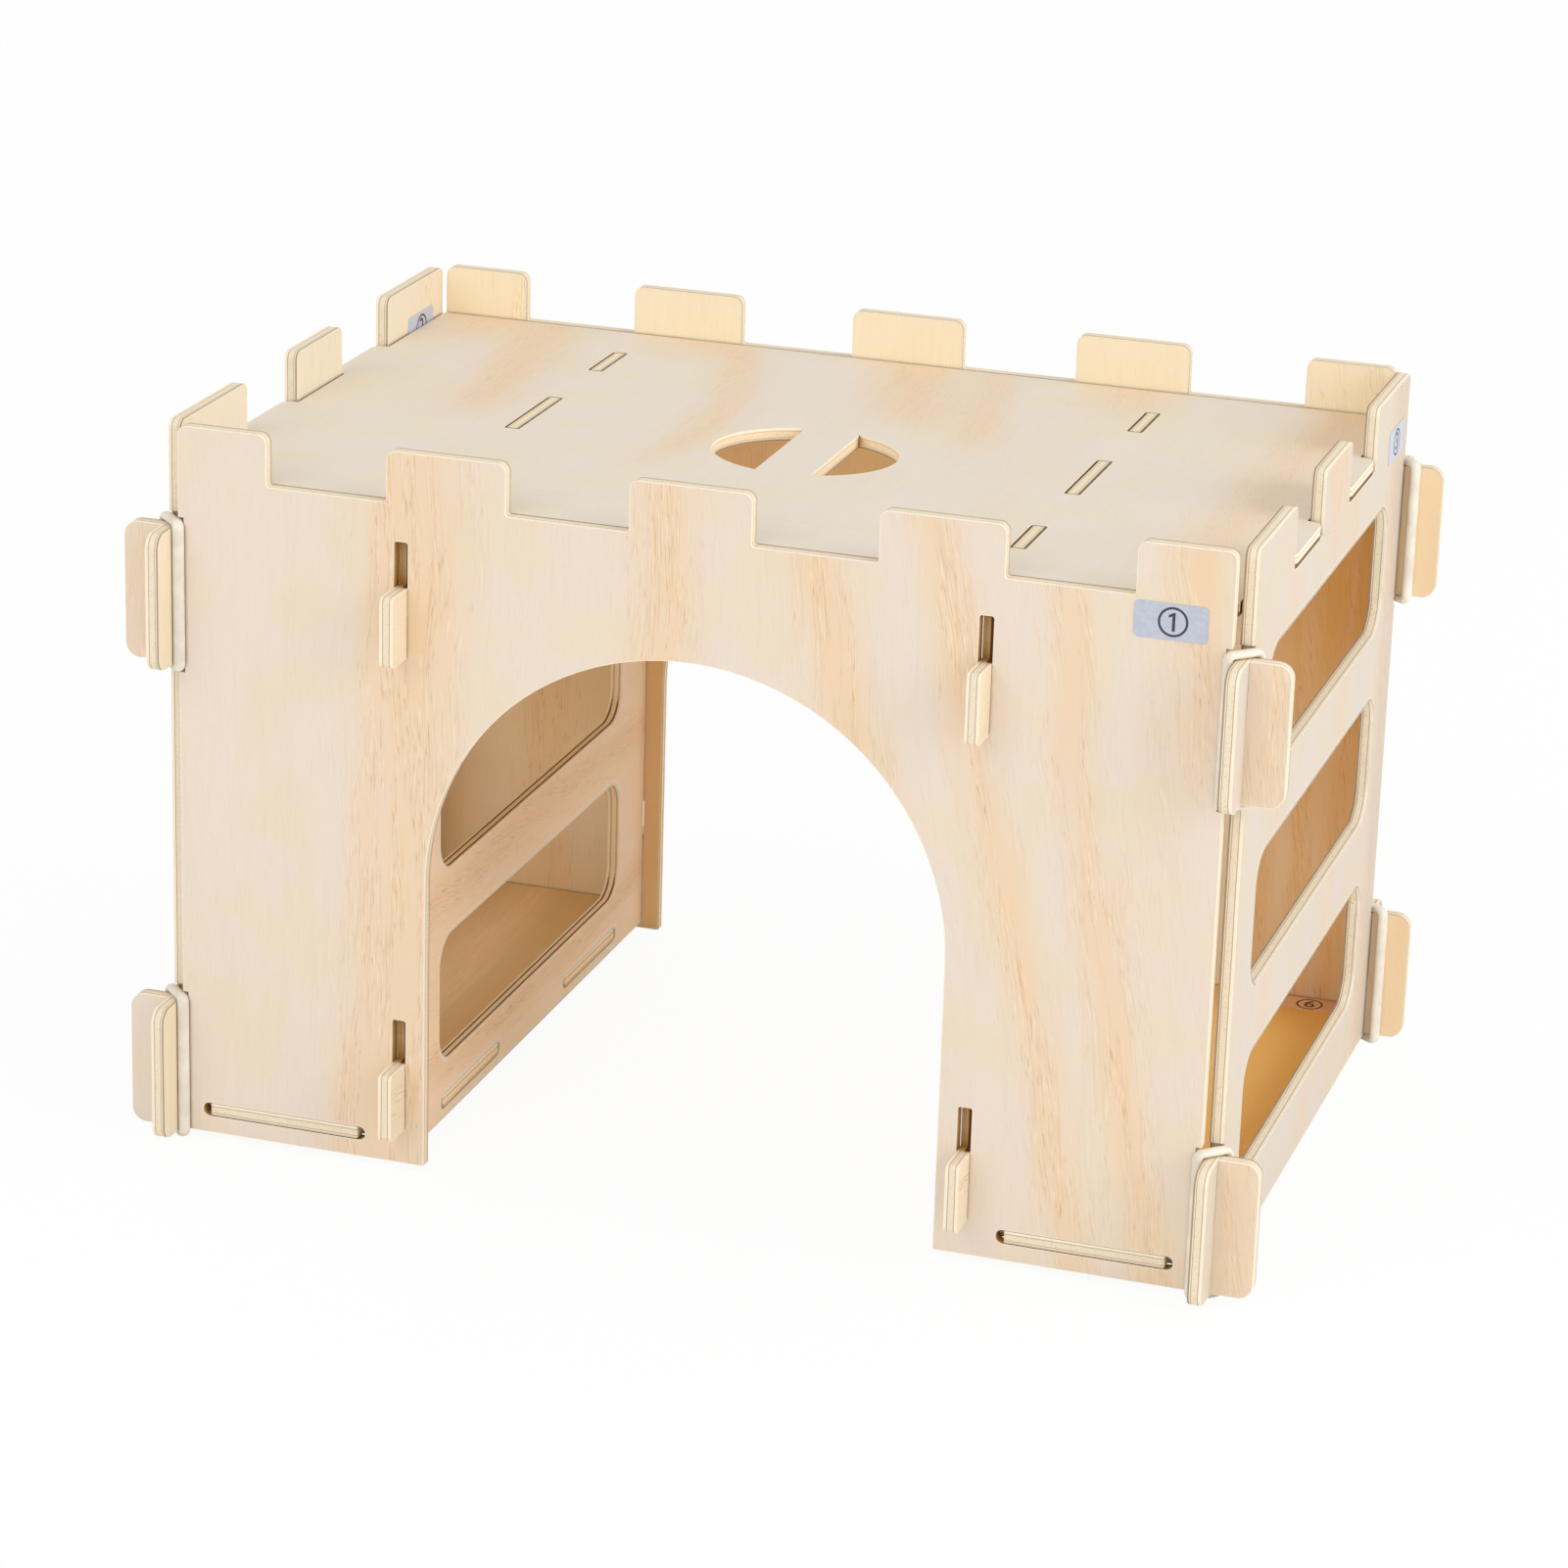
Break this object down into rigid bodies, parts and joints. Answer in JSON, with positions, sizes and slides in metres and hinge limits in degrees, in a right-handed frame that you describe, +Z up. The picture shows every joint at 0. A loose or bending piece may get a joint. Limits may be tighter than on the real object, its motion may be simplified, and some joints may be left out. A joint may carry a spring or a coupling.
{
  "type": "rabbit house",
  "caption": "Castle-shaped plywood rabbit house with windowed towers, an arched passage, battlements and a lift-off vented roof, slotted together and tied with elastic rings.",
  "frame": {"origin": "on the ground under the middle of the overall box, which is the middle of the house", "axes": "+X to the right along the long front, +Y from the front to the back, +Z up"},
  "size_m": [0.43, 0.295, 0.2746],
  "materials": {
    "plywood": "pale birch plywood, sanded, unvarnished",
    "ring_elastic": "milky translucent, smooth",
    "label_film": "thin satin sticker film"
  },
  "bodies": {
    "house": {"front_panel": "plywood", "back_panel": "plywood", "left_end_panel": "plywood", "right_end_panel": "plywood", "left_inner_wall": "plywood", "right_inner_wall": "plywood", "left_floor_panel": "plywood", "right_floor_panel": "plywood", "front_left_upper_ring": "ring_elastic", "front_left_lower_ring": "ring_elastic", "front_right_upper_ring": "ring_elastic", "front_right_lower_ring": "ring_elastic", "back_left_upper_ring": "ring_elastic", "back_left_lower_ring": "ring_elastic", "back_right_upper_ring": "ring_elastic", "back_right_lower_ring": "ring_elastic", "front_number_label": "label_film", "right_end_number_label": "label_film", "left_end_number_label": "label_film", "right_floor_number_label": "label_film"},
    "roof": {"roof_panel": "plywood"}
  },
  "joints": [
    {"name": "roof_lift", "type": "slide", "parent": "house", "child": "roof", "axis": [0, 0, 1], "range_m": [0, 0.05]}
  ]
}
